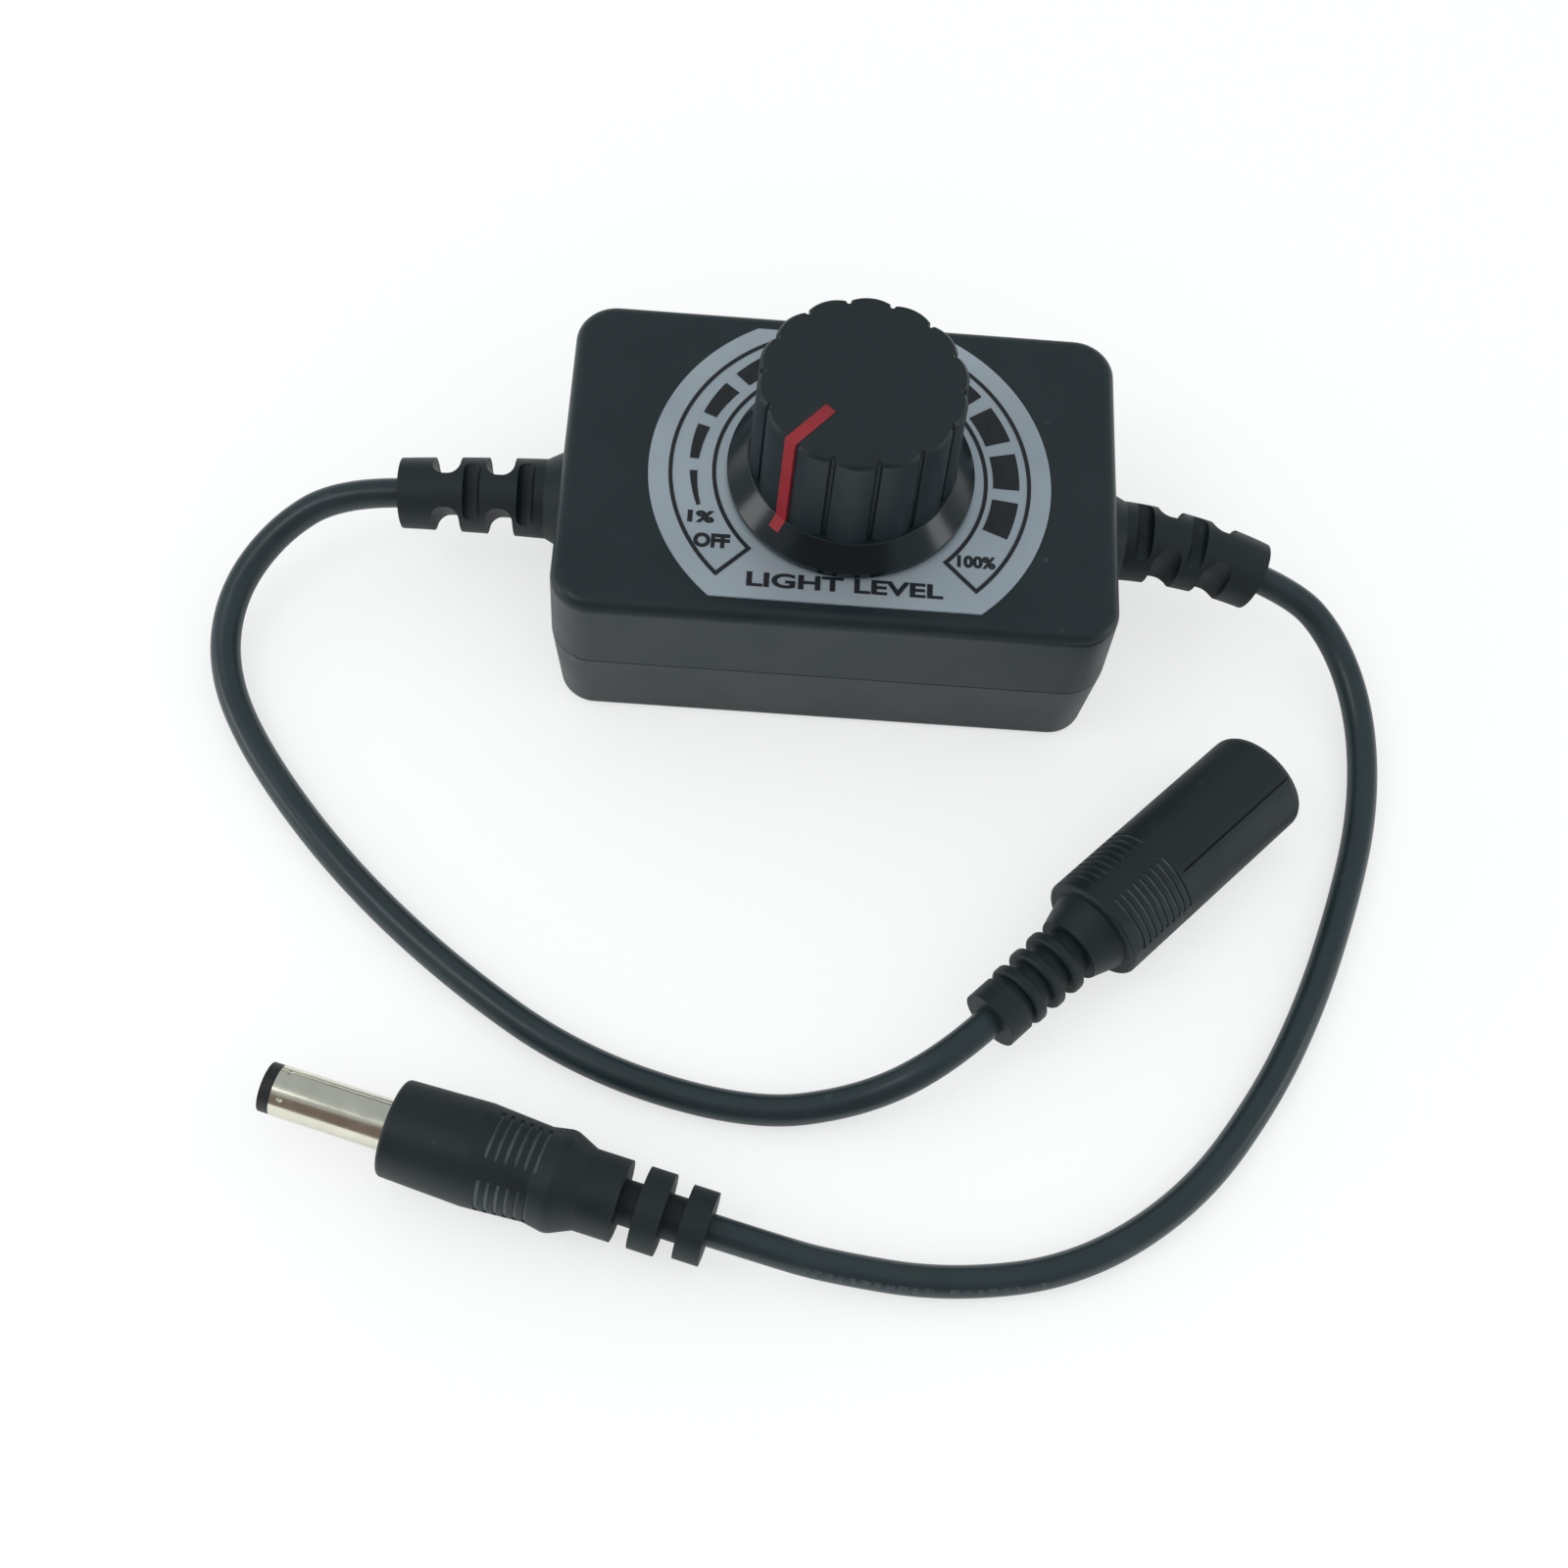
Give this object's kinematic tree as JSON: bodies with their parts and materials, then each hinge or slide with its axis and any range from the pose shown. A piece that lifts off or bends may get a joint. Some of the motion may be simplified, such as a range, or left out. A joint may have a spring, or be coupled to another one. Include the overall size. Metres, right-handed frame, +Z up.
{
  "type": "led strip dimmer",
  "caption": "In-line rotary dimmer: black case with a silver dial label, fluted knob with red pointer, ribbed glands, a lead to a DC socket and a lead to a DC plug.",
  "frame": {"origin": "centre of the case's underside, on the table", "axes": "+X along the case's length towards the output lead, -Y towards the front of the case, +Z up along the knob's axis"},
  "size_m": [0.139, 0.1104, 0.0412],
  "materials": {
    "case_plastic": "satin black, fine mould texture",
    "knob_plastic": "satin black with a glossy skirt",
    "pointer_red": "satin red",
    "label_film": "silver film",
    "label_ink": "printed black",
    "lead_jacket": "satin black jacket",
    "soft_moulding": "matt black moulding",
    "hard_black": "matt black",
    "bright_nickel": "bright nickel plate",
    "plated_steel": "zinc plate",
    "tinned_metal": "tinned",
    "board_green": "solder mask",
    "track_brown": "bare laminate with carbon track",
    "capacitor_can": "sleeved can",
    "wire_red": "red insulation",
    "wire_black": "black insulation"
  },
  "bodies": {
    "base": {"upper_case": "case_plastic", "lower_case": "case_plastic", "dial_label": "label_film", "dial_print": "label_ink", "input_lead": "lead_jacket", "output_lead": "lead_jacket", "input_gland": "soft_moulding", "output_gland": "soft_moulding", "socket_body": "soft_moulding", "plug_body": "soft_moulding", "socket_insert": "hard_black", "plug_tip_ring": "hard_black", "plug_insulator": "hard_black", "pot_housing": "hard_black", "switch_housing": "hard_black", "control_chip": "hard_black", "flyback_diode": "hard_black", "power_transistor": "hard_black", "chip_resistors": "hard_black", "plug_barrel": "bright_nickel", "plug_contact": "bright_nickel", "socket_pin": "bright_nickel", "socket_spring": "bright_nickel", "case_screws": "plated_steel", "pot_frame": "plated_steel", "pot_washer": "plated_steel", "pot_nut": "plated_steel", "pot_terminals": "tinned_metal", "switch_terminals": "tinned_metal", "circuit_board": "board_green", "pot_track": "track_brown", "filter_capacitor": "capacitor_can", "red_wires": "wire_red", "black_wires": "wire_black"},
    "dial_knob": {"knob": "knob_plastic", "knob_pointer": "pointer_red", "pot_shaft": "plated_steel", "pot_rotor": "hard_black", "pot_wiper": "tinned_metal"}
  },
  "joints": [
    {"name": "knob_turn", "type": "hinge", "parent": "base", "child": "dial_knob", "pos_m": [0.001, -0.0013, 0.03], "axis": [0, 0, 1], "range_deg": [-275, 0]}
  ]
}
